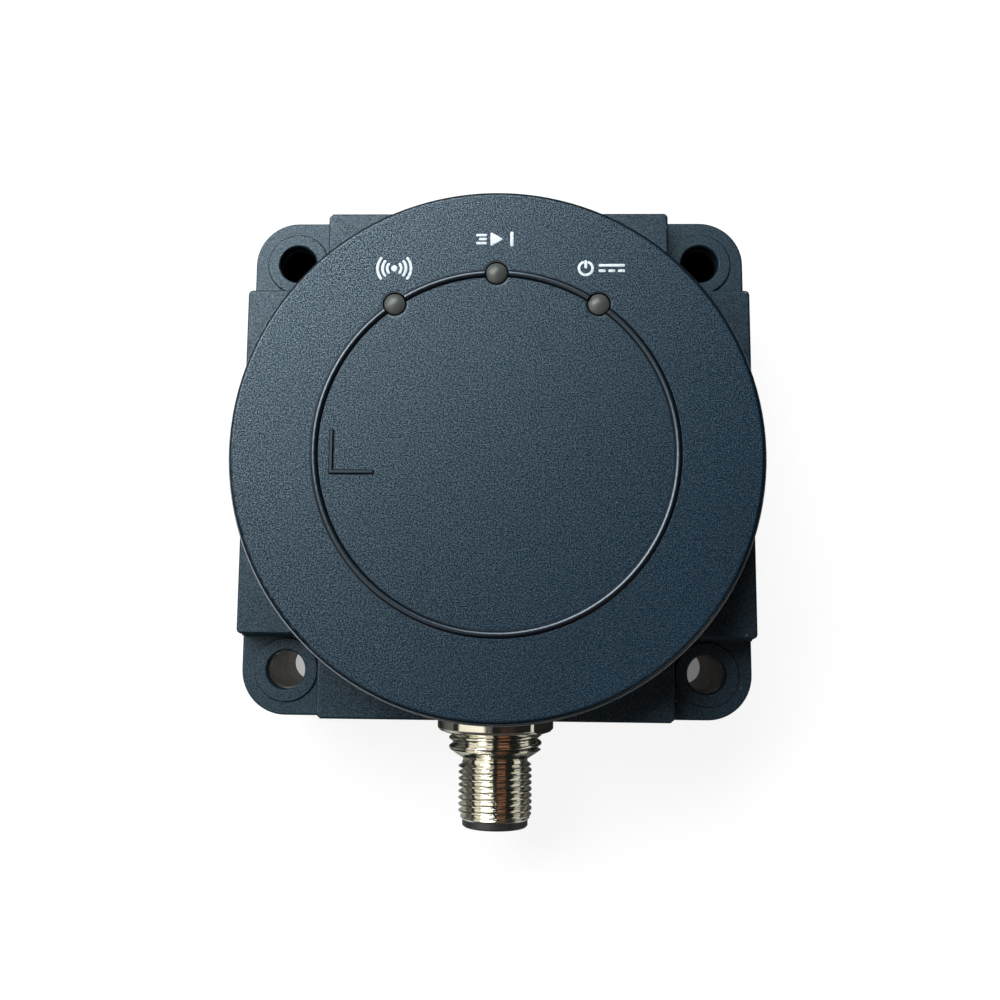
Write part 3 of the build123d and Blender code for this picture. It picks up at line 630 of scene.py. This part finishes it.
def band(x, y, radius, half_width, start, end, steps=20):
    """A curved stroke with rounded ends."""
    start_x, start_y = arc(x, y, radius, start, start, steps=1)[0]
    end_x, end_y = arc(x, y, radius, end, end, steps=1)[0]
    return (arc(x, y, radius + half_width, start, end, steps)
            + arc(end_x, end_y, half_width, end, end + 180, steps=6)[1:-1]
            + arc(x, y, radius - half_width, end, start, steps)
            + arc(start_x, start_y, half_width, start + 180, start + 360, steps=6)[1:-1])


def bar(x0, y0, x1, y1, half_width):
    """A straight stroke with rounded ends."""
    angle = math.degrees(math.atan2(y1 - y0, x1 - x0))
    return (arc(x1, y1, half_width, angle - 90, angle + 90, steps=6)
            + arc(x0, y0, half_width, angle + 90, angle + 270, steps=6))


def rounded_polygon(corners, radius):
    points = []
    for i, corner in enumerate(corners):
        corner = Vector(corner)
        back = (Vector(corners[i - 1]) - corner).normalized()
        ahead = (Vector(corners[(i + 1) % len(corners)]) - corner).normalized()
        half = back.angle(ahead) / 2
        reach = radius / math.tan(half)
        centre = corner + (back + ahead).normalized() * (radius / math.sin(half))
        first = corner + back * reach - centre
        last = corner + ahead * reach - centre
        start = math.atan2(first.y, first.x)
        sweep = (math.atan2(last.y, last.x) - start + math.pi) % (2 * math.pi) - math.pi
        points += arc(centre.x, centre.y, radius, math.degrees(start),
                      math.degrees(start + sweep), steps=5)
    return points


def signed_area(loop):
    """Twice the area, positive for an anticlockwise loop."""
    return sum(loop[i - 1][0] * loop[i][1] - loop[i][0] * loop[i - 1][1]
               for i in range(len(loop)))


def inset(loop, distance):
    points = []
    for i, (x, y) in enumerate(loop):
        along = Vector(loop[(i + 1) % len(loop)]) - Vector(loop[i - 1])
        inward = Vector((-along.y, along.x)).normalized()
        points.append((x + inward.x * distance, y + inward.y * distance))
    return points


def sign(name, loops, centre_x, centre_y):
    """Thin raised ink: each loop is a closed film with a soft edge."""
    verts, faces = [], []
    for loop in loops:
        if signed_area(loop) < 0:
            loop = loop[::-1]
        count = len(loop)
        base = len(verts)
        layers = ((loop, INK_BOTTOM), (loop, INK_TOP - INK_EDGE * 0.5),
                  (inset(loop, INK_EDGE), INK_TOP))
        for outline, z in layers:
            verts += [(centre_x + x, centre_y + y, z) for x, y in outline]
        faces.append(tuple(base + i for i in range(count - 1, -1, -1)))
        for low in (base, base + count):
            for i in range(count):
                j = (i + 1) % count
                faces.append((low + i, low + j, low + count + j, low + count + i))
        faces.append(tuple(base + 2 * count + i for i in range(count)))
    ink = housing_piece(name, verts, faces, "printed_ink", sharp_degrees=50.0)
    del ink["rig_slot"]           # ink has no slot of its own in the record


def detect_sign():
    """A dot between three pairs of arcs."""
    loops = [disc(0.46)]
    for radius in (1.05, 1.75, 2.5):
        for start, end in ((-38, 38), (142, 218)):
            loops.append(band(0, 0, radius, 0.2, start, end))
    sign("sign_detect", loops, centre_x=-15.25, centre_y=27.25)


def run_sign():
    """A triangle pointing to +X, with three dashes before it and an upright bar after."""
    loops = [rounded_polygon([(-0.9, -1.1), (1.05, 0.0), (-0.9, 1.1)], radius=0.16)]
    for start, y in ((-2.85, 0.62), (-2.45, 0.0), (-2.85, -0.62)):
        loops.append(bar(start, y, -1.6, y, half_width=0.19))
    loops.append(bar(2.3, -0.92, 2.3, 0.92, half_width=0.24))
    sign("sign_run", loops, centre_x=-0.05, centre_y=31.75)


def power_sign():
    """An open ring with an upright bar, then a long line over three dashes."""
    loops = [band(-2.2, -0.05, 1.01, 0.19, -245, 65, steps=30)]
    for ends in ((-2.2, 0.15, -2.2, 1.02), (-0.1, 0.42, 3.4, 0.42), (-0.1, -0.42, 0.55, -0.42),
                 (1.33, -0.42, 1.97, -0.42), (2.75, -0.42, 3.4, -0.42)):
        loops.append(bar(*ends, half_width=0.2))
    sign("sign_power", loops, centre_x=15.4, centre_y=27.3)


detect_sign()
run_sign()
power_sign()


# ---------------------------------------------------------------- floor
FLOOR_HALF = 6.0
FLOOR_DROP = 0.00002             # keeps the floor clear of the underside
PLUG_Y = -0.068                  # centre of the dark patch under the connector's tip


def floor_material():
    """Pale paper: bright to the camera, darker in reflections away from the object, with a
    painted glow and painted shadow under the bushes.
    """
    look = Look("floor_look")
    paper = look.noise(scale=14.0, detail=4.0)
    x, y, _ = look.axes()
    plug = look.hypot(x, look.math("ADD", y, -PLUG_Y))
    dx, dy = (look.math("SUBTRACT", look.math("ABSOLUTE", axis), BUSH_OFFSET * MM)
              for axis in (x, y))
    hole = look.remap(look.hypot(dx, dy), span=(0.004, 0.0055), to=(1.0, 0.0))
    # painted shade: 1 to the left, falling to 0.35 to the right, dims the floor under the right
    # bushes
    shade = look.remap(x, span=(-0.02, 0.02), to=(1.0, 0.35))

    # what light and reflections meet
    away = look.remap(plug, span=(0.020, 0.034))
    look.set("Base Color", look.mix(away, (0.60, 0.59, 0.56), (0.035, 0.035, 0.034)))
    look.set("Emission Color", (0.95, 0.93, 0.88))
    # painted light: a faint glow under the two front bushes lights their walls from below
    front = look.remap(y, span=(-0.03, 0.0), to=(0.08, 0.0))
    strength = look.math("MULTIPLY", look.math("MULTIPLY", front, hole), shade)
    look.set("Emission Strength", strength)
    look.set("Roughness", 0.8)
    look.bump(paper, strength=0.05, distance=0.001)

    # what the camera sees: even glow, with painted shadow through the bushes, deeper to the right
    seen = look.node("ShaderNodeBsdfDiffuse")
    look.link(look.mix(paper, (0.14, 0.14, 0.14), (0.16, 0.16, 0.16)), seen.inputs["Color"])
    glow = look.node("ShaderNodeEmission")
    look.feed(glow.inputs["Color"], (1.0, 1.0, 1.0))
    under = look.math("MULTIPLY", look.math("MULTIPLY", shade, hole), 0.43)
    open_floor = look.math("MULTIPLY", look.math("SUBTRACT", 1.0, hole), 0.89)
    look.link(look.math("ADD", open_floor, under), glow.inputs["Strength"])
    add = look.node("ShaderNodeAddShader")
    look.link(seen.outputs[0], add.inputs[0])
    look.link(glow.outputs[0], add.inputs[1])

    choice = look.node("ShaderNodeMixShader")
    path = look.node("ShaderNodeLightPath")
    look.link(path.outputs["Is Camera Ray"], choice.inputs[0])
    look.link(look.shader.outputs[0], choice.inputs[1])
    look.link(add.outputs[0], choice.inputs[2])
    look.link(choice.outputs[0], look.output.inputs["Surface"])
    return look.material


def floor():
    mesh = bpy.data.meshes.new("studio_floor")
    corners = [(sx * FLOOR_HALF, sy * FLOOR_HALF, 0)
               for sx, sy in ((-1, -1), (1, -1), (1, 1), (-1, 1))]
    mesh.from_pydata(corners, [], [(0, 1, 2, 3)])
    mesh.materials.append(floor_material())
    obj = bpy.data.objects.new("studio_floor", mesh)
    obj.location = (0, 0, -FLOOR_DROP)
    scene.collection.objects.link(obj)


floor()


# ---------------------------------------------------------------- lights
def area_light(name, location, target, size, power, color):
    light = bpy.data.lights.new(name, "AREA")
    light.energy = power
    light.color = color
    light.shape = "RECTANGLE"
    light.size, light.size_y = size
    obj = bpy.data.objects.new(name, light)
    obj.location = location
    direction = Vector(target) - Vector(location)
    obj.rotation_euler = direction.to_track_quat("-Z", "Y").to_euler()
    scene.collection.objects.link(obj)
    return obj


def lights():
    """A key high at the back left, low fills on three sides, a card beside the connector."""
    area_light("key", location=(-0.275, 0.368, 0.62), target=(0, 0, 0.03), size=(0.76, 0.38),
               power=10.5, color=(0.96, 0.99, 1.0))
    for name, location, power in (("front_fill", (0.05, -0.75, 0.14), 1.1),
                                  ("side_fill", (0.78, 0.05, 0.14), 0.9),
                                  ("left_fill", (-0.78, -0.05, 0.14), 1.1)):
        fill = area_light(name, location, target=(0, 0, 0.02), size=(0.35, 0.16),
                          power=power, color=(1.0, 0.98, 0.95))
        fill.visible_glossy = False
    card = area_light("plug_card", location=(0.080, -0.085, 0.018), target=(0.0, -0.06, 0.012),
                      size=(0.08, 0.05), power=0.009, color=(1.0, 0.98, 0.92))
    card.visible_camera = False
    card.visible_diffuse = False


lights()


# ---------------------------------------------------------------- world
DARK = (0.012, 0.014, 0.013)
# degrees from overhead, positive towards +X, and the colour reflected from there
ROOM_STOPS = [
    (-90, (0.02, 0.02, 0.02)), (-78, (0.02, 0.02, 0.02)), (-74, (1.0, 0.96, 0.84)),
    (-24, (1.15, 1.1, 1.0)), (-17, DARK), (90, DARK),
]


def studio():
    """A dark room, with pale and brown panels that only reflections see."""
    world = bpy.data.worlds.new("studio")
    scene.world = world
    world.use_nodes = True
    graph = Graph(world.node_tree, "Generated")
    x, y, z = graph.axes()
    tilt = graph.math("MULTIPLY", graph.math("ARCTAN2", x, z), 180.0 / math.pi)

    def fade(value, span, to=(0.0, 1.0)):
        return graph.remap(value, span, to, interpolation="SMOOTHSTEP")

    def front_panel(rise, fall, front):
        """1 between two tilts, only towards -Y."""
        across = graph.math("MULTIPLY", fade(tilt, rise), fade(tilt, fall, to=(1.0, 0.0)))
        return graph.math("MULTIPLY", across, fade(y, front, to=(1.0, 0.0)))

    share = graph.math("DIVIDE", graph.math("ADD", tilt, 90.0), 180.0)
    stops = [((degrees + 90) / 180, color) for degrees, color in ROOM_STOPS]
    sides = graph.ramp(share, stops, "EASE")
    brown = front_panel(rise=(7.0, 11.0), fall=(36.0, 42.0), front=(-0.150, -0.128))
    sides = graph.mix(brown, sides, (0.33, 0.155, 0.095))
    pale = front_panel(rise=(-32.0, -26.0), fall=(-9.0, -5.0), front=(-0.138, -0.118))
    sides = graph.mix(pale, sides, (1.1, 1.05, 0.95))
    sides = graph.mix(fade(y, span=(-0.72, -0.6)), DARK, sides)
    sides = graph.mix(fade(y, span=(0.72, 0.85), to=(1.0, 0.0)), DARK, sides)

    path = graph.node("ShaderNodeLightPath")
    room = graph.mix(path.outputs["Is Glossy Ray"], (0.035, 0.037, 0.04), sides)
    room = graph.mix(path.outputs["Is Camera Ray"], room, (0.95, 0.95, 0.95))
    background = graph.node("ShaderNodeBackground")
    graph.link(room, background.inputs[0])
    background.inputs["Strength"].default_value = 1.0
    output = graph.node("ShaderNodeOutputWorld")
    graph.link(background.outputs[0], output.inputs[0])


studio()


# ---------------------------------------------------------------- camera
def camera():
    """Looks down on the cap, with +Y up in the view."""
    data = bpy.data.cameras.new("camera")
    obj = bpy.data.objects.new("camera", data)
    scene.collection.objects.link(obj)
    data.sensor_width = 36.0
    data.lens = 42.20
    data.shift_x = 0.033646
    data.shift_y = -0.056264
    data.clip_start = 0.01
    data.clip_end = 20.0
    turn = Vector((0.13999501, 0.0353683, 0.00769842))   # axis times angle in radians
    obj.rotation_mode = "QUATERNION"
    obj.location = (0.0018728, -0.0228607, 0.2088373)
    obj.rotation_quaternion = Matrix.Rotation(turn.length, 3, turn.normalized()).to_quaternion()
    scene.camera = obj


camera()

scene.view_settings.view_transform = "Standard"
scene.view_settings.look = "None"
scene.view_settings.exposure = 0.0
scene.view_settings.gamma = 1.0
